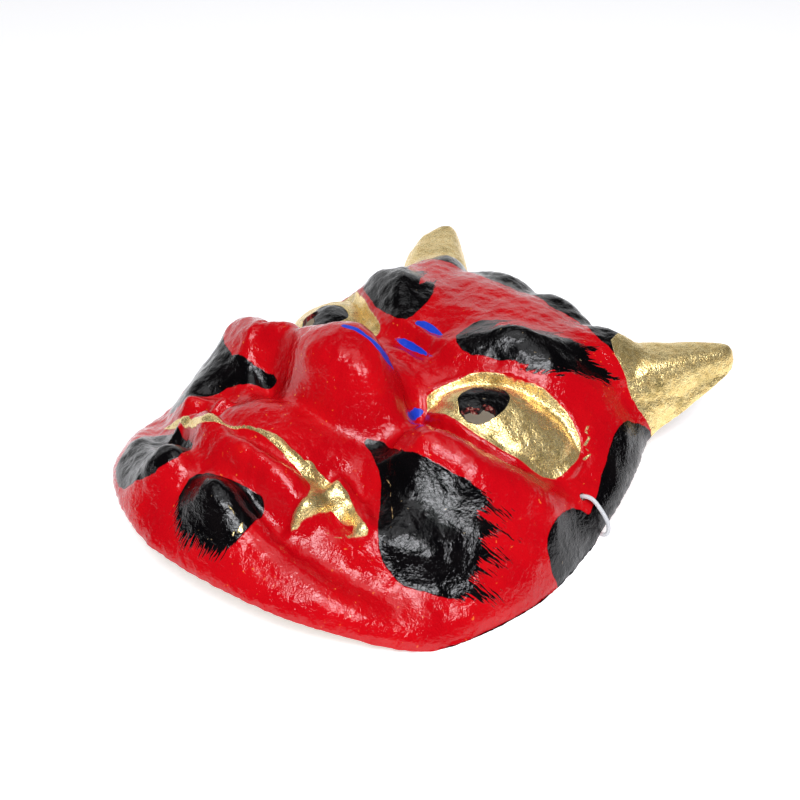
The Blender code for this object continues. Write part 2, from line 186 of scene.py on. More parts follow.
MOUTH_GOLD = [
    (-64, -59.5), (-60, -58.5), (-54.5, -56), (-49.5, -55.5), (-45, -57.5), (-38, -60),
    (-29.5, -62), (-20.5, -62.5), (-18, -60.5), (-13.5, -59.5), (-9.5, -60), (-5.5, -58),
    (-1, -56), (3.5, -54.5), (7.5, -53), (11, -51.5), (15, -51), (18.5, -51), (21.5, -50),
    (23.5, -49.5), (24.5, -47.5), (26, -47), (27.5, -47), (29, -46), (31.5, -45), (36.5, -45.5),
    (39.5, -45.5), (41.5, -45), (45, -46), (49, -48), (54.5, -50), (58, -50.5), (58.5, -51.5),
    (57, -53.5), (55.5, -54.5), (52.5, -55.5), (53.5, -53.5), (52.5, -52.5), (48.5, -52),
    (44, -52), (42, -52), (41, -53), (41.5, -54), (41.5, -57), (41, -61), (40, -63), (39.5, -66),
    (38.5, -68), (36.5, -66.5), (35.5, -65), (36, -62.5), (36, -58.5), (33.5, -55), (31, -53),
    (26.5, -53), (23, -53.5), (19.5, -54.5), (15.5, -54.5), (10.5, -55), (5, -55.5), (-0.5, -57),
    (-6, -60), (-8.5, -62.5), (-12, -64), (-17, -65.5), (-25, -65), (-32.5, -64), (-38.5, -63.5),
    (-48, -60.5), (-56, -60),
]
HORN_GOLD = [
    (51.5, 85), (54, 83), (57, 81), (60, 81), (62.5, 81), (65, 81), (67, 81), (70, 82),
    (72, 83.5), (73.5, 84.5), (75, 86), (80, 86), (96, 96), (98, 140), (70, 146), (36, 114),
    (42.5, 107), (47, 99), (49.5, 92),
]
BROW_BLACK = [
    (16, 33), (12.5, 36.5), (11, 42.5), (11, 48), (14, 53), (17.5, 57.5), (21, 63), (20, 56.5),
    (21, 50.5), (22.5, 47.5), (27.5, 48.5), (30.5, 52.5), (33, 58), (35, 65), (39, 71), (38, 65),
    (40, 65.5), (43.5, 69), (48, 71.5), (51.5, 77), (51.5, 71.5), (52.5, 70.5), (55, 72.5),
    (59, 75.5), (63, 79), (61, 74), (63, 74.5), (60, 67), (59, 62), (56, 54.5), (54, 49.5),
    (50.5, 45.5), (45.5, 42), (41, 40), (44.5, 42.5), (39.5, 41), (35.5, 38.5), (30, 36),
    (25, 33), (20.5, 32),
]
FAR_BROW_BLACK = [
    (-58, 50), (-50.5, 43), (-43.5, 39.5), (-33.5, 35), (-23, 32), (-15, 30.5), (-11, 32),
    (-11, 35.5), (-12.5, 41), (-14, 46.5), (-16.5, 52), (-20, 57), (-26.5, 64.5), (-24.5, 56.5),
    (-23.5, 51), (-26, 54.5), (-31, 61.5), (-36.5, 68.5), (-36, 62), (-35.5, 57), (-40.5, 61),
    (-46.5, 67), (-52, 75), (-52.5, 68.5), (-57.5, 72), (-63, 78.5), (-61.5, 71), (-60, 60),
]
MOUSTACHE = [
    (27.5, -25.5), (27.5, -24), (29.5, -22), (31, -20.5), (33, -20), (38.5, -22), (42.5, -23),
    (47, -24), (50, -23.5), (55, -22), (59.5, -20), (64.5, -18), (70, -16), (74.5, -13.5),
    (78.5, -11.5), (83.5, -8.5), (81, -12.5), (79, -15), (77.5, -18), (79.5, -16), (81.5, -14.5),
    (84, -12), (88.5, -9), (86, -13), (84, -15.5), (83, -20.5), (85.5, -19), (88, -17),
    (91.5, -15), (89, -20.5), (86.5, -25.5), (89, -24.5), (91.5, -22), (89, -26.5), (87, -30.5),
    (89.5, -29), (92.5, -27), (94.5, -24), (94.5, -28), (92, -32.5), (88.5, -37), (84, -42.5),
    (81, -45), (78, -47.5), (74.5, -50), (71.5, -51), (68, -51.5), (65.5, -51.5), (63, -50.5),
    (60.5, -48.5), (57, -45.5), (52, -40), (48.5, -36.5), (45, -33), (41.5, -31), (38, -29.5),
    (32, -26),
]
FAR_MOUSTACHE = [
    (-82, -8), (-74, -17), (-66, -22.5), (-55, -26.5), (-44.5, -25.5), (-38, -23), (-32.5, -21.5),
    (-28, -22.5), (-30.5, -24), (-35.5, -28), (-40.5, -31.5), (-48.5, -35), (-52, -40.5),
    (-56.5, -46.5), (-63, -51), (-72, -51.5), (-83, -42), (-90, -30), (-92, -20), (-88, -12),
]
CHIN_BLACK = [
    (8, -94.5), (4.5, -92), (2.5, -90), (0.5, -87), (-0.5, -84), (-1, -81), (-0.5, -78), (2, -76),
    (7, -75), (12, -73.5), (15.5, -71.5), (19.5, -70), (23, -68.5), (25, -68.5), (26, -69.5),
    (27.5, -72), (30.5, -77), (31.5, -80.5), (31.5, -83.5), (31.5, -85.5), (30.5, -88),
    (30, -90.5), (27, -93), (24, -94), (19.5, -94.5), (14.5, -96),
]
FAR_CHIN_BLACK = [
    (-9, -80.5), (-10.5, -77), (-13.5, -73), (-17, -70), (-24, -67.5), (-31.5, -66), (-42, -64),
    (-52, -62.5), (-58, -63.5), (-61, -68), (-59, -77), (-52, -87), (-45, -90), (-38, -92.5),
    (-31, -93), (-24, -91.5), (-16.5, -89.5), (-13.5, -88), (-11, -85),
]
SIDE_BLACK = [
    (72.5, 72), (74, 65), (75.5, 60), (78.5, 53), (81.5, 47.5), (83.5, 42.5), (86.5, 37.5),
    (88, 34), (90, 29), (90, 28), (89, 26.5), (88, 25), (87, 22.5), (87.5, 17.5), (89.5, 11.5),
    (90.5, 7), (91.5, 3.5), (92.5, 1.5), (94, 0), (96, -0.5), (97.5, -1), (99, 0), (100, 1.5),
    (112, 2), (110, 60), (86, 90), (75.5, 86.5), (74, 82.5), (73, 78),
]
HAIR_BLACK = [
    (75, 88), (66, 84), (60, 82.5), (54.5, 81), (50, 80.5), (46.5, 81), (41.5, 83.5),
    (36.5, 87.5), (31.5, 90), (27, 89), (22.5, 87.5), (18, 86.5), (13, 88), (9, 89), (4.5, 89.5),
    (0.5, 89), (-3, 87), (-6.5, 85.5), (-9.5, 85), (-17, 84), (-23, 85), (-28.5, 87.5),
    (-34, 88.5), (-41, 84), (-47, 81), (-54, 81), (-60, 82.5), (-66, 84), (-75, 88), (-70, 150),
    (70, 150),
]
# Thin strokes and splashes of gold outside the gold shapes: points, half width
GOLD_MARKS = [
    ([(69.5, 51), (70.5, 48), (72.5, 48), (73.5, 44), (76.5, 44), (76.5, 40)], 0.32),
    ([(46, -31.5), (50.5, -33), (52.5, -36), (58, -39.5), (62, -44)], 0.1),
    ([(46, -59), (48.5, -58), (51, -56.5), (51.5, -54.5)], 0.16),
    ([(23.5, -82), (25.5, -81.5), (27, -81.5)], 0.22),
    ([(29, -80.5), (30, -82.5), (29.5, -85)], 0.3),
    ([(31, -81.5), (30.5, -83.5)], 0.24),
]
BLUE_STROKES = [
    [(-7, 32.5), (-8.5, 35.5), (-7, 38), (-3.5, 39), (1.5, 38.5), (7, 36.5), (2, 36), (-2, 35),
     (-4.5, 33.5)],
    [(-11, 25), (-10, 26), (-7.5, 27.5), (-2.5, 28), (2.5, 27.5), (7, 27), (12, 26.5), (7.5, 26),
     (2.5, 25.5), (-2.5, 25), (-7, 25)],
    [(-2.5, -10), (-2.5, -8), (0, -7), (3, -6), (6.5, -5.5), (8.5, -5), (10.5, -4), (12.5, -2.5),
     (13.5, -1), (13.5, 2), (15, 1), (16, -2.5), (15.5, -5), (13.5, -6), (10, -6.5), (7, -7),
     (3.5, -8), (1, -9)],
    [(21, 6), (22.5, 8.5), (24, 8), (23.5, 5), (25.5, 1.5), (29.5, -5), (26, -2.5), (22, 3)],
]


# The form of the face

def smooth_line(points, steps):
    """Points on a smooth curve through the given ones, with their own number of steps."""
    line = np.array(points, float)
    line = np.vstack([2 * line[0] - line[1], line, 2 * line[-1] - line[-2]])
    parts = []
    share = np.linspace(0, 1, steps, endpoint=False)[:, None]
    for first, start, end, last in zip(line[:-3], line[1:-2], line[2:-1], line[3:]):
        bend = 2 * first - 5 * start + 4 * end - last
        twist = -first + 3 * start - 3 * end + last
        parts.append(0.5 * (2 * start + (end - first) * share + bend * share**2 + twist * share**3))
    parts.append(line[-2:-1])
    return np.concatenate(parts)


def smooth_ring(points, steps=5):
    """The same for a closed outline."""
    ring = points[-2:] + points + points[:2]
    return smooth_line(ring, steps)[2 * steps:-2 * steps - 1]


def evenly_spaced(line, count):
    steps = np.linalg.norm(np.diff(line, axis=0), axis=1)
    along = np.concatenate([[0], np.cumsum(steps)])
    places = np.linspace(0, along[-1], count)
    return np.column_stack([np.interp(places, along, line[:, axis]) for axis in range(line.shape[1])])


def ease(low, high, value):
    share = np.clip((value - low) / (high - low), 0, 1)
    return share * share * (3 - 2 * share)


def blended_maximum(first, second, reach):
    share = np.clip(0.5 + 0.5 * (first - second) / reach, 0, 1)
    return second + (first - second) * share + reach * share * (1 - share)


def off_stretch(x, y, start, end):
    """Where the nearest place on a straight stretch is, from 0 to 1, and how far off it is."""
    run_x, run_y = end[0] - start[0], end[1] - start[1]
    share = ((x - start[0]) * run_x + (y - start[1]) * run_y) / max(run_x**2 + run_y**2, 1e-9)
    share = np.clip(share, 0, 1)
    return share, np.hypot(x - start[0] - share * run_x, y - start[1] - share * run_y)


def ridge(x, y, points):
    """A soft ridge or furrow along a line whose rise and half width change on the way."""
    nearest = np.full(x.shape, 1e9)
    rise = np.zeros(x.shape)
    for start, end in zip(points[:-1], points[1:]):
        share, off = off_stretch(x, y, start, end)
        off = off / (start[3] + share * (end[3] - start[3]))
        closer = off < nearest
        nearest = np.where(closer, off, nearest)
        rise = np.where(closer, start[2] + share * (end[2] - start[2]), rise)
    return rise * np.exp(-nearest**2.1)


def oval(x, y, middle_x, middle_y, half_width, half_length, turn):
    cosine, sine = math.cos(math.radians(turn)), math.sin(math.radians(turn))
    along = ((x - middle_x) * cosine + (y - middle_y) * sine) / half_width
    across = ((y - middle_y) * cosine - (x - middle_x) * sine) / half_length
    return np.hypot(along, across), along


def bump(x, y, form):
    *place, rise, sharpness = form
    off, _ = oval(x, y, *place)
    return rise * np.exp(-off**sharpness)


class Rim:
    """Looks up how far the rim is from the hub, and how high, in any direction."""

    def __init__(self):
        self.line = smooth_line(RIM, RIM_STEPS)
        off = self.line[:, :2] - HUB
        self.turn = np.arctan2(off[:, 0], -off[:, 1])
        self.reach = np.hypot(off[:, 0], off[:, 1])

    def at(self, x, y):
        turn = np.arctan2(x, -(y - HUB[1]))
        reach = np.interp(turn, self.turn, self.reach)
        level = np.interp(turn, self.turn, self.line[:, 2])
        return np.clip(np.hypot(x, y - HUB[1]) / reach, 0, 1), level, turn

    def distance(self, x, y):
        """Distance to the rim beside the horn."""
        horn_edge = self.line[self.line[:, 1] > 60][:, :2]
        nearest = np.full(x.shape, 1e9)
        for start, end in zip(horn_edge[:-1], horn_edge[1:]):
            nearest = np.minimum(nearest, off_stretch(x, y, start, end)[1])
        return nearest


def horn_share(x, y):
    """How far along the horn a place is, 0 at its root and 1 at its tip, and how far aside."""
    axis = np.subtract(HORN_TIP, HORN_ROOT)
    length = np.hypot(*axis)
    axis = axis / length
    along = ((x - HORN_ROOT[0]) * axis[0] + (y - HORN_ROOT[1]) * axis[1]) / length
    across = (x - HORN_ROOT[0]) * axis[1] - (y - HORN_ROOT[1]) * axis[0]
    return along, across


def add_horn(x, y, height, share_out, level, rim):
    along, across = horn_share(x, y)
    reach = np.clip(along, -0.6, 1)
    half = HORN_ROOT_HALF + (HORN_TIP_HALF - HORN_ROOT_HALF) * reach
    inside = (along > -0.6) & (np.abs(across) < half * 1.4)
    edge = np.zeros(x.shape)
    edge[inside] = rim.distance(x[inside], y[inside])
    round_side = np.sqrt(1 - np.clip(1 - edge / half, 0, 1)**2.8)
    round_side *= np.sqrt(np.clip(1 - (np.abs(across) / (half * 1.12))**4, 0, 1))
    crest = HORN_CREST - 14 * ease(0.05, -0.5, along)
    horn = level + (crest - level) * round_side
    blend = 2.5 * np.sqrt(1 - share_out) + 0.01
    return np.where(inside, blended_maximum(horn, height, blend), height)


def face_height(x, y, rim):
    """Height of the outer surface over the floor, for a place on the right half."""
    x = np.sqrt(x * x + 2.0)
    share_out, level, turn = rim.at(x, y)
    power = 3.2 + 4.5 * ease(2.3, 3.0, turn) - 0.6 * ease(0.9, 0.3, turn)
    power = power - 0.7 * np.exp(-((turn - 0.95) / 0.35)**2)
    plate = FACE_LEVEL - 2 * ease(40, 90, x) - 6 * ease(78, 104, y)
    plate = plate + FOREHEAD_RISE * ease(15, 56, y) * np.exp(-(x / FOREHEAD_REACH)**4)
    height = level + (plate - level) * (1 - share_out**power)**FLANK_POWER
    for line in (BROW, CHEEKBONE, NOSE_FURROW, MOUTH_LINE, LOWER_LIP, LIP_CREASE,
                 TUSK_DOWN, TUSK_OUT):
        height = height + ridge(x, y, line)
    single = (NOSE_BULB, NOSE_RIDGE, NOSE_ROOT, GLABELLA_LOW, GLABELLA_HIGH,
              MUZZLE, MOUTH_CORNER, CHIN_KNOB, JOWL)
    for form in (*single, *HAIR_LUMPS):
        height = height + bump(x, y, form)
    eye, eye_along = oval(x, y, *EYE)
    height = height - EYE_SOCKET_DEPTH * np.exp(-(eye / 1.12)**5)
    ball = np.clip(1 - eye**2, 0, 1)**0.7
    height = height + EYE_RISE * ball * (1 - EYE_TILT * np.clip(eye_along, -1, 1))
    return add_horn(x, y, height, share_out, level, rim)


def far_horn_splay(distance, y):
    """How far the far horn's outer side stands outwards, least at its root and tip."""
    height_share = ease(78, 100, y) * (1 - 0.75 * ease(108, 128, y))
    return FAR_HORN_SPLAY * height_share * ease(50, 78, distance)


def lean_far_side(x, y, z, share_out):
    """The far half: a narrower jaw, a fuller cheek by the nose and a horn that splays out."""
    distance = np.abs(x)
    along, across = horn_share(distance, y)
    on_horn = np.sqrt(np.clip(along, 0, 1)) * (np.abs(across) < HORN_ROOT_HALF * 1.4)
    lift = -FAR_HORN_DROP * on_horn
    for form in FAR_FORMS:
        lift = lift + bump(distance, y, form)
    lift = lift * (1 - share_out**6)
    far_x = x * (1 - FAR_JAW_SHRINK * ease(0, -45, y)) - far_horn_splay(distance, y)
    return np.where(x < 0, far_x, x), np.where(x < 0, z + lift, z)


def to_row(points):
    moved = np.array(points, float)
    moved[..., :2] -= PLAN_MIDDLE
    return moved * MM


def to_drawn(points):
    """Back from the part's frame in metres to the drawn plan in millimetres."""
    moved = np.array(points, float) / MM
    moved[..., :2] += PLAN_MIDDLE
    x, y = moved[..., 0], moved[..., 1]
    drawn = x
    # The splay depends on the drawn place itself, so a few rounds settle it
    for _ in range(4):
        drawn = (x + far_horn_splay(np.abs(drawn), y)) / (1 - FAR_JAW_SHRINK * ease(0, -45, y))
    return np.where(x < 0, drawn, x), y, moved[..., 2]


# Distances to painted shapes

def off_outline(x, y, outline, closed=True):
    """Distance to an outline in millimetres, positive inside a closed one."""
    ring = np.array(outline, float)
    ends = np.roll(ring, -1, axis=0) if closed else ring[1:]
    nearest = np.full(x.shape, 1e9)
    inside = np.zeros(x.shape, bool)
    for start, end in zip(ring, ends):
        nearest = np.minimum(nearest, off_stretch(x, y, start, end)[1])
        if closed and start[1] != end[1]:
            crossing = (start[1] > y) != (end[1] > y)
            meets = start[0] + (y - start[1]) / (end[1] - start[1]) * (end[0] - start[0])
            inside ^= crossing & (x < meets)
    return np.where(inside, nearest, -nearest) if closed else nearest


def off_any(x, y, outlines):
    """The greatest of the distances to some outlines, so positive inside any of them."""
    return np.max([off_outline(x, y, outline) for outline in outlines], axis=0)


def mirrored(outline):
    return [(-x, y) for x, y in outline]


# Blender helpers

def link(item):
    bpy.context.scene.collection.objects.link(item)
    return item


def mesh_object(name, points, faces, smooth=True):
    mesh = bpy.data.meshes.new(name)
    mesh.from_pydata([tuple(point) for point in points], [], faces)
    mesh.update()
    if smooth:
        mesh.shade_smooth()
    return link(bpy.data.objects.new(name, mesh))


def read_points(mesh):
    flat = np.empty(len(mesh.vertices) * 3)
    mesh.vertices.foreach_get("co", flat)
    return flat.reshape(-1, 3)


def apply_modifiers(item):
    bpy.context.view_layer.update()
    graph = bpy.context.evaluated_depsgraph_get()
    mesh = bpy.data.meshes.new_from_object(item.evaluated_get(graph), depsgraph=graph)
    old = item.data
    item.modifiers.clear()
    item.data = mesh
    bpy.data.meshes.remove(old)


def store(mesh, name, values, kind="FLOAT"):
    layer = mesh.attributes.new(name, kind, "POINT")
    field = "value" if kind == "FLOAT" else "vector"
    layer.data.foreach_set(field, np.ascontiguousarray(values, np.float32).ravel())


def wobble(points, scale, seed):
    """Smooth noise from -1 to 1 at points in millimetres."""
    shift = Vector((seed * 17.3, seed * 5.1, seed * 29.7))
    return np.array([noise.noise(Vector(point) * scale + shift) for point in points])


def lumps(points, sizes):
    return sum(rise * wobble(points, scale, seed) for rise, scale, seed in sizes)


def soft_band(off, rise, middle, half_width):
    return rise * np.exp(-((off - middle) / half_width)**2)


# Camera and cord

def make_camera():
    data = bpy.data.cameras.new("photo_camera")
    data.lens = CAMERA_LENS
    data.sensor_width = CAMERA_SENSOR
    data.clip_start = 0.01
    camera = link(bpy.data.objects.new("photo_camera", data))
    camera.location = CAMERA_PLACE
    aim = Vector(CAMERA_TARGET) - Vector(CAMERA_PLACE)
    camera.rotation_euler = aim.to_track_quat("-Z", "Y").to_euler()
    bpy.context.scene.camera = camera


def tube(name, path, radii, sides):
    """A closed tube along a path, with its length and its turn stored as a UV map."""
    path = np.array(path)
    runs = np.gradient(path, axis=0)
    runs /= np.linalg.norm(runs, axis=1)[:, None]
    side = np.cross(runs[0], (0.3, 0.2, 0.9))
    side /= np.linalg.norm(side)
    points = []
    turns = np.linspace(0, 2 * math.pi, sides, endpoint=False)
    for place, run, radius in zip(path, runs, radii):
        side = side - run * side.dot(run)
        side /= np.linalg.norm(side)
        other = np.cross(run, side)
        for turn in turns:
            points.append(place + radius * (math.cos(turn) * side + math.sin(turn) * other))
    faces = []
    for ring in range(len(path) - 1):
        for number in range(sides):
            after = (number + 1) % sides
            faces.append((ring * sides + number, ring * sides + after,
                          (ring + 1) * sides + after, (ring + 1) * sides + number))
    first, last = len(points), len(points) + 1
    points += [path[0], path[-1]]
    end = (len(path) - 1) * sides
    for number in range(sides):
        after = (number + 1) % sides
        faces.append((first, after, number))
        faces.append((last, end + number, end + after))
    item = mesh_object(name, points, faces)
    layer = item.data.uv_layers.new(name="weave")
    along = np.concatenate([[0], np.cumsum(np.linalg.norm(np.diff(path, axis=0), axis=1))]) / MM
    for polygon in item.data.polygons:
        wraps = max(polygon.vertices) % sides == sides - 1 and min(polygon.vertices) % sides == 0
        for corner in polygon.loop_indices:
            vertex = item.data.loops[corner].vertex_index
            if vertex >= first:
                layer.data[corner].uv = (0, along[0] if vertex == first else along[-1])
                continue
            turn = (vertex % sides) / sides
            if wraps and turn == 0:
                turn = 1.0
            layer.data[corner].uv = (turn, along[vertex // sides])
    return item


def knot_path(place, size, facing):
    """A pulled-tight overhand knot round a point, with its axis along facing."""
    turn = np.linspace(0, 2 * math.pi, 90, endpoint=False) + 0.4
    loop = np.stack([
        np.sin(turn) + 2 * np.sin(2 * turn),
        np.cos(turn) - 2 * np.cos(2 * turn),
        -1.25 * np.sin(3 * turn),
    ], axis=1)
    rotation = Vector(facing).to_track_quat("Z", "Y").to_matrix()
    return np.array(place) + size / 3 * (loop @ np.array(rotation).T)


def make_cord():
    route = smooth_line(to_row(CORD_ROUTE), 12)
    length = np.linalg.norm(np.diff(route, axis=0), axis=1).sum()
    path = evenly_spaced(route, int(length / (CORD_STEP * MM)) + 1)
    radii = np.full(len(path), CORD_DIAMETER / 2 * MM)
    radii[:2] *= (0.75, 1.0)
    radii[-2:] *= (1.0, 0.75)
    cord = tube("elastic", path, radii, CORD_SIDES)
    knots = []
    for name, number in (("near_knot", 0), ("far_knot", -1)):
        start = path[number]
        inward = path[3 if number == 0 else -4] - start
        place = start + KNOT_SETBACK * MM * inward / np.linalg.norm(inward)
        line = knot_path(place, KNOT_REACH * MM, inward)
        line = np.vstack([line, line[:1]])
        knots.append(tube(name, line, np.full(len(line), KNOT_RADIUS * MM), KNOT_SIDES))
    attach(cord, "root")
    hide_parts("elastic_cord")
    for knot in knots:
        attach(knot, "root")
    hole = to_row((*CORD_HOLE, CORD_EXIT_HEIGHT))
    return [cord, *knots]


# The shell

def column_steps(shares, columns):
    """How many of the rim's columns one column of each ring stands for."""
    steps, after = [], 1
    for share in shares[::-1]:
        step = 1
        while columns % (2 * step) == 0 and step < 2 * after and share * 2 * step < 0.85:
            step *= 2
        steps.append(step)
        after = step
    return steps[::-1]


def join_rings(inner, outer, faces):
    if len(inner) == len(outer):
        for number in range(len(inner)):
            after = (number + 1) % len(inner)
            faces.append((inner[number], outer[number], outer[after], inner[after]))
        return
    for number in range(len(inner)):
        after = (number + 1) % len(inner)
        first, middle = outer[2 * number], outer[2 * number + 1]
        last = outer[(2 * number + 2) % len(outer)]
        faces.append((inner[number], first, middle))
        faces.append((inner[number], middle, inner[after]))
        faces.append((inner[after], middle, last))


def whole_outline(half):
    """The right half's line, chin to hair, and its mirror image back to the chin."""
    back = half[-2:0:-1] * np.array([-1, 1, 1])
    return np.concatenate([half, back])


def plan_grid(outline, rings, power):
    """Places on the drawn plan from the hub to an outline, and the faces between them."""
    shares = 1 - (1 - np.linspace(0, 1, rings + 1)[1:])**power
    places, out, faces, before = [np.array([[HUB[0], HUB[1], 0]])], [np.zeros(1)], [], None
    count = 1
    for share, step in zip(shares, column_steps(shares, len(outline))):
        ring = outline[::step]
        place = np.column_stack([ring[:, :2] * share, ring[:, 2]])
        place[:, 1] += HUB[1] * (1 - share)
        numbers = list(range(count, count + len(ring)))
        count += len(ring)
        if before is None:
            for number in range(len(numbers)):
                faces.append((0, numbers[number], numbers[(number + 1) % len(numbers)]))
        else:
            join_rings(before, numbers, faces)
        before = numbers
        places.append(place)
        out.append(np.full(len(ring), share))
    return np.concatenate(places), np.concatenate(out), faces, before


def inset_line(line, by):
    """The rim's line moved inwards on the plan."""
    run = np.gradient(line[:, :2], axis=0)
    run /= np.linalg.norm(run, axis=1)[:, None]
    moved = line.copy()
    moved[:, 0] -= by * run[:, 1]
    moved[:, 1] += by * run[:, 0]
    moved[[0, -1], 0] = 0
    return moved


def inner_height(x, y, rim):
    """Height of the inside: the outside lowered by the wall, square to the surface."""
    lowest = face_height(x, y, rim) - WALL
    for reach, count in ((0.45, 6), (0.8, 10), (0.97, 14)):
        drop = WALL * math.sqrt(1 - reach**2)
        for turn in np.linspace(0, 2 * math.pi, count, endpoint=False):
            other_x = np.abs(x + WALL * reach * math.cos(turn))
            other_y = y + WALL * reach * math.sin(turn)
            lowest = np.minimum(lowest, face_height(other_x, other_y, rim) - drop)
    return lowest


def surface_relief(x, y, points, to_rim):
    """Hand-made unevenness of the outside, in millimetres along the surface's normal."""
    along, across = horn_share(np.abs(x), y)
    on_horn = np.clip(along, 0, 1) * (np.abs(across) < HORN_ROOT_HALF * 1.4)
    uneven = lumps(points, OUTER_LUMPS) * (1 - CALM_HORN * on_horn)
    eye = np.where(x > 0, off_outline(x, y, smooth_ring(EYE_GOLD)),
                   off_outline(x, y, smooth_ring(FAR_EYE_GOLD)))
    lid = soft_band(eye, *LID_ROLL) + soft_band(eye, *LID_GROOVE)
    lip = LIP_GOLD_RISE * ease(-0.4, 1.6, off_outline(x, y, MOUTH_GOLD))
    return (uneven + lid + lip) * ease(0, CALM_RIM, to_rim)


def make_prism(name, outline, low, high):
    shape = bmesh.new()
    bottom = [shape.verts.new((x, y, low)) for x, y in outline]
    top = [shape.verts.new((x, y, high)) for x, y in outline]
    shape.faces.new(bottom[::-1])
    shape.faces.new(top)
    for number in range(len(outline)):
        after = (number + 1) % len(outline)
        shape.faces.new((bottom[number], bottom[after], top[after], top[number]))
    bmesh.ops.recalc_face_normals(shape, faces=shape.faces)
    bmesh.ops.triangulate(shape, faces=shape.faces)
    mesh = bpy.data.meshes.new(name)
    shape.to_mesh(mesh)
    shape.free()
    return link(bpy.data.objects.new(name, mesh))


def eye_cutter(side):
    """The opening's outline with the small bites of a knife, straight through the wall."""
    ring = []
    corners = [(side * x, y) for x, y in EYE_OPENING]
    for number, (start, end) in enumerate(zip(corners, corners[1:] + corners[:1])):
        for share in (0, 0.34, 0.67):
            bite = 0.22 * math.sin(7.3 * number + 11 * share)
            x = start[0] + share * (end[0] - start[0]) + bite * (end[1] - start[1]) / 4
            y = start[1] + share * (end[1] - start[1]) - bite * (end[0] - start[0]) / 4
            ring.append(tuple(to_row((x, y, 0))[:2]))
    return make_prism("eye_cutter", ring, 12 * MM, 80 * MM)


def hole_cutter(side, rim):
    step = 0.5
    x, y = CORD_HOLE
    z = face_height(np.array([x, x + step, x - step, x, x]),
                    np.array([y, y, y, y + step, y - step]), rim)
    outward = Vector((-(z[1] - z[2]) / (2 * step) * side, -(z[3] - z[4]) / (2 * step), 1))
    turns = np.linspace(0, 2 * math.pi, 20, endpoint=False)
    radius = CORD_HOLE_DIAMETER / 2 * MM
    ring = [(radius * math.cos(turn), radius * math.sin(turn)) for turn in turns]
    cutter = make_prism("hole_cutter", ring, -6 * MM, 6 * MM)
    cutter.rotation_mode = "QUATERNION"
    cutter.rotation_quaternion = outward.to_track_quat("Z", "Y")
    cutter.location = to_row((side * x, y, z[0]))
    return cutter


def cut(item, cutter):
    modifier = item.modifiers.new("cut", "BOOLEAN")
    modifier.operation = "DIFFERENCE"
    modifier.solver = "MANIFOLD"
    modifier.object = cutter
    apply_modifiers(item)
    bpy.data.objects.remove(cutter, do_unlink=True)


def surface_normals(points, faces):
    """Each point's normal, on the side that faces up."""
    draft = mesh_object("draft", points, faces)
    normals = np.empty(len(points) * 3)
    draft.data.vertex_normals.foreach_get("vector", normals)
    bpy.data.objects.remove(draft, do_unlink=True)
    normals = normals.reshape(-1, 3)
    return -normals if normals[:, 2].mean() < 0 else normals


def leaned_surface(line, spokes, rings, height_at, rim):
    """A surface from the hub to a line round the rim, with its far half leaned."""
    half = evenly_spaced(line, spokes + 1)
    half[[0, -1], 0] = 0
    places, share, faces, last = plan_grid(whole_outline(half), rings, RING_CROWDING)
    x, y = places[:, 0], places[:, 1]
    height = np.where(share >= 1, places[:, 2], height_at(np.abs(x), y, rim))
    lean_x, lean_z = lean_far_side(x, y, height, share)
    return np.column_stack([lean_x, y, lean_z]), x, share, faces, last


def outer_surface(rim):
    outer, x, share, faces, last = leaned_surface(
        rim.line, OUTER_SPOKES, OUTER_RINGS, face_height, rim)
    y = outer[:, 1].copy()
    normals = surface_normals(outer, faces)
    reach = np.hypot(x, y - HUB[1])
    to_rim = reach / np.maximum(share, 0.01) - reach
    outer = outer + normals * surface_relief(x, y, outer, to_rim)[:, None]
    edge = share > 0.985
    ragged = lumps(outer[edge], EDGE_LUMPS)
    outer[edge, :2] += normals[edge, :2] * ragged[:, None]
    outer[:, 2] = np.maximum(outer[:, 2], 0)
    return outer, faces, last


def inner_surface(rim):
    inner, _, share, faces, last = leaned_surface(
        inset_line(rim.line, WALL), INNER_SPOKES, INNER_RINGS, inner_height, rim)
    inner[:, 2] -= np.abs(lumps(inner, INNER_LUMPS)) * (share < 0.97)
    inner[:, 2] = np.maximum(inner[:, 2], 0)
    return inner, faces, last


def make_shell(materials):
    """The mask: outside, inside and a rim between them, with its openings cut."""
    rim = Rim()
    outer, faces, last_outer = outer_surface(rim)
    inner, inner_faces, last_inner = inner_surface(rim)
    first = len(outer)
    rim_faces = []
    join_rings([number + first for number in last_inner], last_outer, rim_faces)
    all_faces = list(faces)
    all_faces += [tuple(number + first for number in face[::-1]) for face in inner_faces]
    all_faces += [face[::-1] for face in rim_faces]
    shell = mesh_object("mask_face", to_row(np.concatenate([outer, inner])), all_faces)
    kinds = [0] * len(faces) + [1] * len(inner_faces) + [2] * len(rim_faces)
    for material in materials:
        shell.data.materials.append(material)
    shell.data.polygons.foreach_set("material_index", kinds)
    check = bmesh.new()
    check.from_mesh(shell.data)
    bmesh.ops.recalc_face_normals(check, faces=check.faces)
    check.to_mesh(shell.data)
    check.free()
    for side in (1, -1):
        for cutter in (eye_cutter(side), hole_cutter(side, rim)):
            for material in materials:
                cutter.data.materials.append(material)
            for polygon in cutter.data.polygons:
                polygon.material_index = 2
            cut(shell, cutter)
    paint(shell.data)
    shell.data.shade_smooth()
    shell.data.set_sharp_from_angle(angle=math.radians(50))
    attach(shell, "root")
    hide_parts("mask_shell")


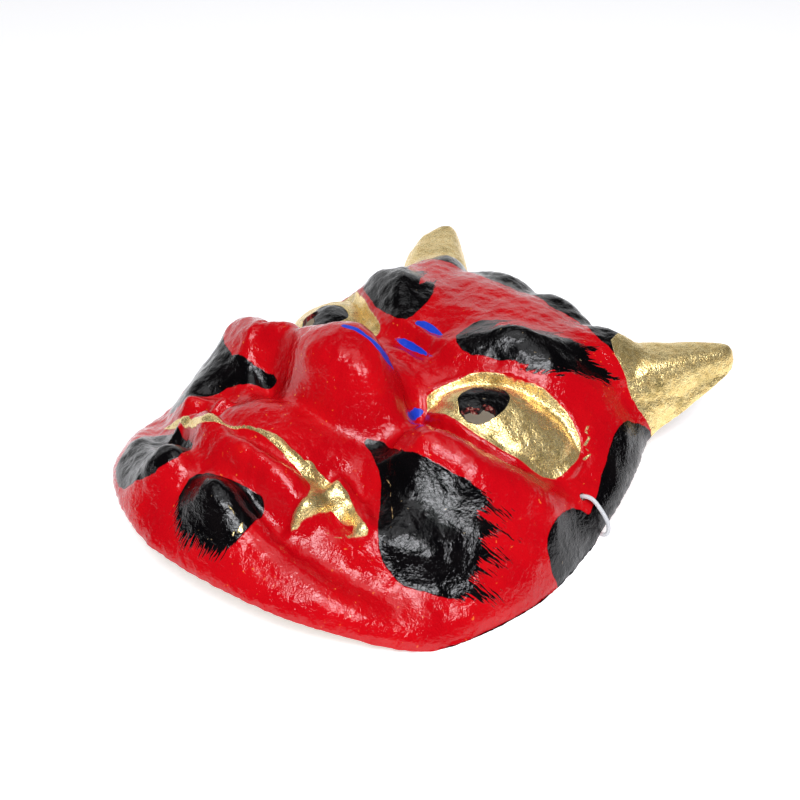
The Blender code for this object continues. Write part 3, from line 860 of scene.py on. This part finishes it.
# Each brush-painted black shape: outline, brush direction in degrees, where along it the
# brush runs dry, and how far its bristles scatter in millimetres
BLACK_SHAPES = [
    (BROW_BLACK, 62, 50, 70, 2.5),
    (FAR_BROW_BLACK, 118, 50, 70, 2.5),
    (MOUSTACHE, 33, 48, 62, 4.0),
    (FAR_MOUSTACHE, 150, 60, 80, 3.0),
    (CHIN_BLACK, -88, 84, 95, 4.5),
    (FAR_CHIN_BLACK, -118, 96, 110, 4.5),
    (SIDE_BLACK, -80, 400, 500, 0.0),
    (mirrored(SIDE_BLACK), -100, 400, 500, 0.0),
    (HAIR_BLACK, 90, 400, 500, 0.0),
]


def paint(mesh):
    """Distances to the painted shapes' edges, which the paint material reads."""
    x, y, _ = to_drawn(read_points(mesh))
    black = np.full(x.shape, -99.0)
    dry = np.zeros(x.shape)
    brush = np.zeros((len(x), 3))
    for number, (outline, turn, start, end, scatter) in enumerate(BLACK_SHAPES):
        off = off_outline(x, y, outline)
        run_x, run_y = math.cos(math.radians(turn)), math.sin(math.radians(turn))
        along = x * run_x + y * run_y
        across = y * run_x - x * run_y
        closer = off > black
        black = np.where(closer, off, black)
        dry = np.where(closer, scatter * ease(start, end, along), dry)
        place = np.column_stack([along, across, np.full(len(x), 50.0 * number)])
        brush = np.where(closer[:, None], place, brush)
    gold = off_any(x, y, (smooth_ring(EYE_GOLD), smooth_ring(FAR_EYE_GOLD), MOUTH_GOLD,
                          HORN_GOLD, mirrored(HORN_GOLD)))
    for line, half_width in GOLD_MARKS:
        gold = np.maximum(gold, half_width - off_outline(x, y, line, closed=False))
    pupil = off_any(x, y, (smooth_ring(PUPIL), smooth_ring(FAR_PUPIL)))
    blue = off_any(x, y, BLUE_STROKES)
    store(mesh, "brush", brush, "FLOAT_VECTOR")
    for name, values in (("black", black), ("dry", dry), ("gold", gold), ("pupil", pupil),
                         ("blue", blue)):
        store(mesh, name, values)


# Materials

class Graph:
    """Short calls for building the nodes of a material or of the world."""

    def __init__(self, owner):
        owner.use_nodes = True
        self.owner = owner
        self.nodes = owner.node_tree.nodes
        self.links = owner.node_tree.links
        self.places = self.add("ShaderNodeTexCoord").outputs
        self.place = self.places["Object"]

    def add(self, kind, **settings):
        made = self.nodes.new(kind)
        for name, value in settings.items():
            setattr(made, name, value)
        return made

    def put(self, socket, value):
        if isinstance(value, bpy.types.NodeSocket):
            self.links.new(value, socket)
        elif isinstance(value, tuple) and len(value) == 3 and socket.type == "RGBA":
            socket.default_value = (*value, 1.0)
        else:
            socket.default_value = value

    def attribute(self, name, vector=False):
        made = self.add("ShaderNodeAttribute", attribute_name=name)
        return made.outputs["Vector" if vector else "Fac"]

    def math(self, operation, first, second=0.0):
        made = self.add("ShaderNodeMath", operation=operation)
        self.put(made.inputs[0], first)
        self.put(made.inputs[1], second)
        return made.outputs[0]

    def plus(self, first, second):
        return self.math("ADD", first, second)

    def minus(self, first, second):
        return self.math("SUBTRACT", first, second)

    def times(self, first, second):
        return self.math("MULTIPLY", first, second)

    def weighted(self, first, *others):
        """The sum of values that are each given with a weight."""
        total = self.times(*first)
        for value, weight in others:
            total = self.plus(total, self.times(value, weight))
        return total

    def noise(self, scale, detail=3.0, rough=0.5, distortion=0.0, place=None, kind="FBM"):
        made = self.add("ShaderNodeTexNoise", noise_type=kind)
        settings = {"Vector": place or self.place, "Scale": scale, "Detail": detail,
                    "Roughness": rough, "Distortion": distortion}
        for name, value in settings.items():
            self.put(made.inputs[name], value)
        return made.outputs["Fac"]

    def stretch(self, place, scale, turn=(0, 0, 0)):
        made = self.add("ShaderNodeMapping")
        self.put(made.inputs["Vector"], place)
        made.inputs["Scale"].default_value = scale
        made.inputs["Rotation"].default_value = turn
        return made.outputs["Vector"]

    def range(self, value, low, high, to_low=0.0, to_high=1.0, smooth=True):
        made = self.add("ShaderNodeMapRange")
        made.interpolation_type = "SMOOTHSTEP" if smooth else "LINEAR"
        settings = {"Value": value, "From Min": low, "From Max": high, "To Min": to_low,
                    "To Max": to_high}
        for name, number in settings.items():
            self.put(made.inputs[name], number)
        return made.outputs["Result"]

    def mix(self, share, first, second):
        made = self.add("ShaderNodeMix", data_type="RGBA")
        self.put(made.inputs["Factor"], share)
        self.put(made.inputs[6], first)
        self.put(made.inputs[7], second)
        return made.outputs[2]

    def mix_value(self, share, first, second):
        made = self.add("ShaderNodeMix", data_type="FLOAT")
        self.put(made.inputs[0], share)
        self.put(made.inputs[2], first)
        self.put(made.inputs[3], second)
        return made.outputs[0]

    def bump(self, height, distance):
        made = self.add("ShaderNodeBump")
        self.put(made.inputs["Height"], height)
        made.inputs["Distance"].default_value = distance
        return made.outputs["Normal"]

    def finish(self, colour, roughness, normal, metallic=0.0, **constants):
        shader = self.nodes["Principled BSDF"]
        self.put(shader.inputs["Base Color"], colour)
        self.put(shader.inputs["Roughness"], roughness)
        self.put(shader.inputs["Normal"], normal)
        self.put(shader.inputs["Metallic"], metallic)
        for name, value in constants.items():
            shader.inputs[name.replace("_", " ")].default_value = value
        return self.owner


def make_paint():
    """Lacquer over tissue paper: red, black, blue and gold by distance to each shape."""
    g = Graph(bpy.data.materials.new("lacquer_paint"))
    fine = g.noise(1400, 2.0)
    mid = g.noise(420, 4.0, 0.6, 0.4)
    wide = g.noise(38, 3.0, 0.55)
    cloud = g.noise(95, 4.0, 0.6)
    brush = g.attribute("brush", vector=True)
    bristles = g.noise(1.0, 2.0, 0.6, place=g.stretch(brush, (0.16, 1.9, 1.0)))
    scatter = g.times(g.minus(bristles, 0.56), g.attribute("dry"))
    wander = g.times(g.minus(mid, 0.5), 0.55)
    black_edge = g.plus(g.attribute("black"), g.plus(g.times(scatter, 3.2), wander))
    black = g.range(black_edge, -0.16, 0.16)
    gold_edge = g.plus(g.attribute("gold"), wander)
    gold = g.range(gold_edge, -0.14, 0.14)
    pupil = g.range(g.plus(g.attribute("pupil"), g.times(wander, 1.6)), -0.14, 0.14)
    blue = g.range(g.plus(g.attribute("blue"), g.times(wander, 0.35)), -0.1, 0.1)

    red = g.mix(g.range(wide, 0.35, 0.68), (0.52, 0.0015, 0.006), (0.60, 0.003, 0.007))
    red = g.mix(g.range(cloud, 0.60, 0.80, 0.0, 0.35), red, (0.68, 0.018, 0.006))
    red = g.mix(g.range(mid, 0.66, 0.80, 0.0, 0.30), red, (0.38, 0.001, 0.005))
    specks = g.range(g.noise(700, 1.0, 0.4), 0.73, 0.76)
    red = g.mix(g.times(specks, g.range(wide, 0.45, 0.60)), red, (0.82, 0.16, 0.03))
    black_colour = g.mix(g.range(cloud, 0.35, 0.75), (0.0014, 0.0012, 0.0016), (0.0040, 0.0030, 0.0034))
    flecks = g.range(g.noise(520, 2.0, 0.5), 0.735, 0.76)
    black_colour = g.mix(g.times(flecks, 0.55), black_colour, (0.30, 0.23, 0.14))
    gold_colour = g.mix(g.range(mid, 0.3, 0.72), (0.86, 0.61, 0.23), (1.0, 0.80, 0.38))
    gold_colour = g.mix(g.range(fine, 0.60, 0.72, 0.0, 0.6), gold_colour, (1.0, 0.86, 0.48))
    gold_colour = g.mix(g.range(cloud, 0.52, 0.72, 0.0, 0.65), gold_colour, (0.36, 0.27, 0.08))

    colour = g.mix(blue, red, (0.004, 0.045, 0.56))
    colour = g.mix(black, colour, black_colour)
    colour = g.mix(gold, colour, gold_colour)
    colour = g.mix(pupil, colour, black_colour)

    gilded = g.times(gold, g.minus(1.0, pupil))
    metal = g.times(gilded, 0.78)
    lacquer_rough = g.range(mid, 0.3, 0.75, 0.035, 0.10)
    gold_rough = g.range(fine, 0.35, 0.65, 0.20, 0.36)
    blue_rough = g.mix_value(blue, lacquer_rough, 0.45)
    rough = g.mix_value(gilded, blue_rough, gold_rough)

    wrinkles = g.noise(260, 5.0, 0.62, 0.9, kind="RIDGED_MULTIFRACTAL")
    tissue = g.noise(900, 3.0, 0.6, 0.3)
    pits = g.noise(470, 3.0, 0.6, 0.8)
    swells = g.noise(120, 3.0, 0.5)
    folds = g.mix_value(gilded, 0.30, 0.08)
    grain = g.times(fine, gilded)
    painted = g.plus(g.plus(black, gold), blue)
    height = g.weighted((wrinkles, folds), (tissue, 0.55), (pits, 1.15), (swells, 1.0),
                        (grain, 0.9), (painted, 0.28))
    normal = g.bump(height, 0.00022)
    return g.finish(colour, rough, normal, metal, Specular_IOR_Level=0.42, IOR=1.45)


def make_raw_paper():
    """Bare layered paper of the inside: torn strips, fibres and smudges of red."""
    g = Graph(bpy.data.materials.new("raw_paper"))
    slanted = g.stretch(g.place, (1.0, 0.55, 0.8), (0.2, 0.1, 0.6))
    strips = g.add("ShaderNodeTexVoronoi", feature="F1", distance="EUCLIDEAN")
    borders = g.add("ShaderNodeTexVoronoi", feature="DISTANCE_TO_EDGE")
    for cells in (strips, borders):
        g.put(cells.inputs["Vector"], slanted)
        cells.inputs["Scale"].default_value = 55
    tint = g.add("ShaderNodeSeparateColor")
    g.put(tint.inputs[0], strips.outputs["Color"])
    fibres = g.noise(900, 4.0, 0.7, place=g.stretch(g.place, (1.0, 0.25, 1.0), (0, 0, 0.5)))
    stains = g.noise(30, 4.0, 0.6)
    colour = g.mix(tint.outputs[0], (0.50, 0.42, 0.31), (0.62, 0.54, 0.42))
    colour = g.mix(g.range(fibres, 0.45, 0.75, 0.0, 0.5), colour, (0.36, 0.28, 0.19))
    colour = g.mix(g.range(stains, 0.55, 0.75, 0.0, 0.45), colour, (0.42, 0.30, 0.18))
    step = g.range(borders.outputs["Distance"], 0.0, 0.05)
    height = g.weighted((step, 0.6), (fibres, 0.5), (tint.outputs[1], 1.0))
    return g.finish(colour, g.range(fibres, 0.3, 0.7, 0.78, 0.92), g.bump(height, 0.00025))


def make_raw_edge():
    """Cut and torn paper edge with paint lapping over it."""
    g = Graph(bpy.data.materials.new("painted_edge"))
    torn = g.noise(330, 4.0, 0.65)
    layers = g.noise(1.0, 2.0, 0.5, place=g.stretch(g.place, (400, 400, 2600)))
    paper = g.mix(layers, (0.42, 0.20, 0.14), (0.66, 0.48, 0.38))
    colour = g.mix(g.range(torn, 0.56, 0.64), (0.36, 0.003, 0.008), paper)
    pupil = g.range(g.attribute("pupil"), -1.2, -0.4)
    colour = g.mix(g.times(pupil, g.range(torn, 0.62, 0.50)), colour, (0.004, 0.003, 0.004))
    rough = g.range(torn, 0.50, 0.60, 0.30, 0.85)
    return g.finish(colour, rough, g.bump(g.plus(torn, layers), 0.00025))


def make_elastic():
    """Fine white braid: two sets of slanting threads round the cord, with painted shade in the grooves
    between them.
    """
    g = Graph(bpy.data.materials.new("braided_elastic"))
    waves = []
    for slant in (1.0, -1.0):
        mapping = g.stretch(g.places["UV"], (8.0, 2.6 * slant, 1.0))
        parts = g.add("ShaderNodeSeparateXYZ")
        g.put(parts.inputs[0], mapping)
        total = g.plus(parts.outputs[0], parts.outputs[1])
        waves.append(g.math("SINE", g.times(total, 2 * math.pi)))
    braid = g.math("MAXIMUM", waves[0], waves[1])
    fuzz = g.noise(2600, 2.0, 0.6)
    # Painted shade: grey where the braid is low, in the grooves between threads, and white on their
    # crowns
    colour = g.mix(g.range(braid, -0.2, 0.9), (0.52, 0.53, 0.55), (0.86, 0.87, 0.88))
    colour = g.mix(g.times(fuzz, 0.2), colour, (0.70, 0.70, 0.72))
    height = g.weighted((braid, 0.5), (fuzz, 0.4))
    return g.finish(colour, g.range(fuzz, 0.3, 0.7, 0.62, 0.80), g.bump(height, 0.00009))


def make_floor_material():
    g = Graph(bpy.data.materials.new("studio_paper"))
    soft = g.noise(6, 3.0)
    colour = g.mix(soft, (0.90, 0.90, 0.915), (0.93, 0.93, 0.935))
    grain = g.bump(g.noise(300, 3.0), 0.00005)
    # The floor glows as painted light, and the glow drops to a painted shadow under the mask, inside 85
    # mm of the middle and deepest within 45 mm
    reach = g.add("ShaderNodeVectorMath", operation="LENGTH")
    g.put(reach.inputs[0], g.place)
    glow_with_painted_shadow = g.mix(g.range(reach.outputs["Value"], 0.045, 0.085), (0.06, 0.06, 0.06), (1.0, 0.995, 1.0))
    g.put(g.nodes["Principled BSDF"].inputs["Emission Color"], glow_with_painted_shadow)
    return g.finish(colour, g.range(soft, 0.3, 0.7, 0.75, 0.85), grain, Emission_Strength=0.5)


# Studio

def make_floor():
    reach = FLOOR_REACH
    corners = [(-reach, -reach), (reach, -reach), (reach, reach), (-reach, reach)]
    floor = mesh_object("studio_floor", [(x, y, -0.0001) for x, y in corners],
                        [(0, 1, 2, 3)], smooth=False)
    floor.data.materials.append(make_floor_material())


def make_key_light():
    """A softbox seen from the mask at an azimuth from -Y towards +X, and an elevation."""
    data = bpy.data.lights.new("key_softbox", "AREA")
    data.shape = "RECTANGLE"
    data.size, data.size_y = KEY_SIZE
    data.energy = KEY_POWER
    data.color = KEY_COLOUR
    light = link(bpy.data.objects.new("key_softbox", data))
    turn, rise, distance = math.radians(KEY_PLACE[0]), math.radians(KEY_PLACE[1]), KEY_PLACE[2]
    light.location = (distance * math.sin(turn) * math.cos(rise),
                      -distance * math.cos(turn) * math.cos(rise), distance * math.sin(rise))
    light.rotation_euler = (-Vector(light.location)).to_track_quat("-Z", "Y").to_euler()


def facing(g, towards, low, high, at_low=0.0, at_high=1.0):
    """A smooth step over how far a direction of view points towards a given one."""
    dot = g.add("ShaderNodeVectorMath", operation="DOT_PRODUCT")
    g.put(dot.inputs[0], g.places["Generated"])
    g.put(dot.inputs[1], towards)
    return g.range(dot.outputs["Value"], low, high, at_low, at_high)


def make_world():
    """A white backdrop low behind the mask, dim elsewhere, and a bright ceiling."""
    world = bpy.data.worlds.new("studio")
    bpy.context.scene.world = world
    g = Graph(world)
    behind = facing(g, BACKDROP_TOWARDS, 0.55, 0.86)
    low_down = facing(g, (0, 0, 1), 0.40, 0.66, 1.0, 0.0)
    overhead = facing(g, (0, 0, 1), 0.90, 0.97, 0.0, ZENITH_LEVEL)
    shown = g.times(behind, low_down)
    level = g.range(shown, 0.0, 1.0, DIM_LEVEL, BACKDROP_LEVEL, smooth=False)
    back = g.nodes["Background"]
    back.inputs["Color"].default_value = (0.97, 0.98, 1.0, 1.0)
    g.put(back.inputs["Strength"], g.plus(level, overhead))


def main():
    bpy.context.scene.view_settings.view_transform = "Standard"
    make_camera()
    elastic = make_elastic()
    for piece in make_cord():
        piece.data.materials.append(elastic)
    make_shell([make_paint(), make_raw_paper(), make_raw_edge()])
    make_floor()
    make_world()
    make_key_light()


main()
